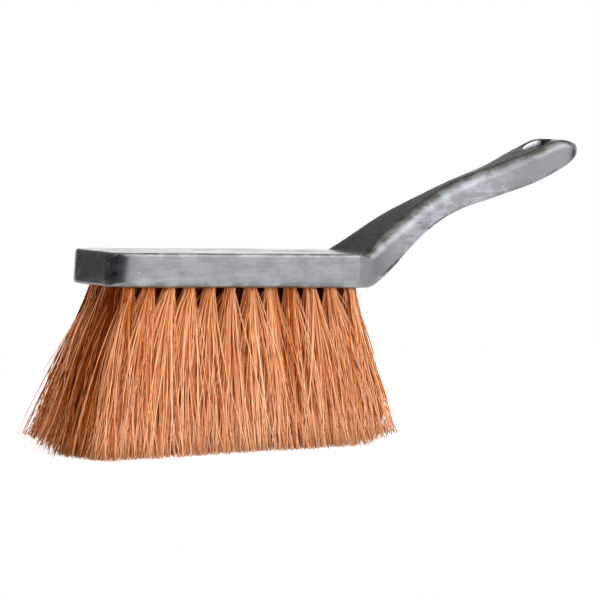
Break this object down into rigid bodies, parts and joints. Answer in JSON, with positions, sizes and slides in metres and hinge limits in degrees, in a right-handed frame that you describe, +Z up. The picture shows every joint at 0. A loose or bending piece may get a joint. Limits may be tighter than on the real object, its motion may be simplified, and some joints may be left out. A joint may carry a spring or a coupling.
{
  "type": "carpet brush",
  "caption": "Hand brush with a flat moulded plastic block, a rising handle with a hang hole, and rows of stiff coir tufts that flare out to a flat trim, for sweeping carpets and rough floors.",
  "frame": {"origin": "on the floor that the bristle tips stand on, under the middle of the brush's box", "axes": "+X along the brush from the block's free end towards the handle, +Z up from the floor"},
  "size_m": [0.3282, 0.077, 0.1607],
  "materials": {
    "moulded_plastic": "satin dark grey recycled plastic, streaked and scuffed",
    "coir": "dry stiff orange-brown coconut fibre",
    "anchor_steel": "plain flat wire"
  },
  "bodies": {
    "root": {"stock": "moulded_plastic", "bristle_row_1": "coir", "bristle_row_2": "coir", "bristle_row_3": "coir", "bristle_row_4": "coir", "anchor_1_01": "anchor_steel", "anchor_1_02": "anchor_steel", "anchor_1_03": "anchor_steel", "anchor_1_04": "anchor_steel", "anchor_1_05": "anchor_steel", "anchor_1_06": "anchor_steel", "anchor_1_07": "anchor_steel", "anchor_1_08": "anchor_steel", "anchor_1_09": "anchor_steel", "anchor_1_10": "anchor_steel", "anchor_1_11": "anchor_steel", "anchor_1_12": "anchor_steel", "anchor_2_01": "anchor_steel", "anchor_2_02": "anchor_steel", "anchor_2_03": "anchor_steel", "anchor_2_04": "anchor_steel", "anchor_2_05": "anchor_steel", "anchor_2_06": "anchor_steel", "anchor_2_07": "anchor_steel", "anchor_2_08": "anchor_steel", "anchor_2_09": "anchor_steel", "anchor_2_10": "anchor_steel", "anchor_2_11": "anchor_steel", "anchor_2_12": "anchor_steel", "anchor_3_01": "anchor_steel", "anchor_3_02": "anchor_steel", "anchor_3_03": "anchor_steel", "anchor_3_04": "anchor_steel", "anchor_3_05": "anchor_steel", "anchor_3_06": "anchor_steel", "anchor_3_07": "anchor_steel", "anchor_3_08": "anchor_steel", "anchor_3_09": "anchor_steel", "anchor_3_10": "anchor_steel", "anchor_3_11": "anchor_steel", "anchor_3_12": "anchor_steel", "anchor_4_01": "anchor_steel", "anchor_4_02": "anchor_steel", "anchor_4_03": "anchor_steel", "anchor_4_04": "anchor_steel", "anchor_4_05": "anchor_steel", "anchor_4_06": "anchor_steel", "anchor_4_07": "anchor_steel", "anchor_4_08": "anchor_steel", "anchor_4_09": "anchor_steel", "anchor_4_10": "anchor_steel", "anchor_4_11": "anchor_steel", "anchor_4_12": "anchor_steel"}
  },
  "joints": []
}
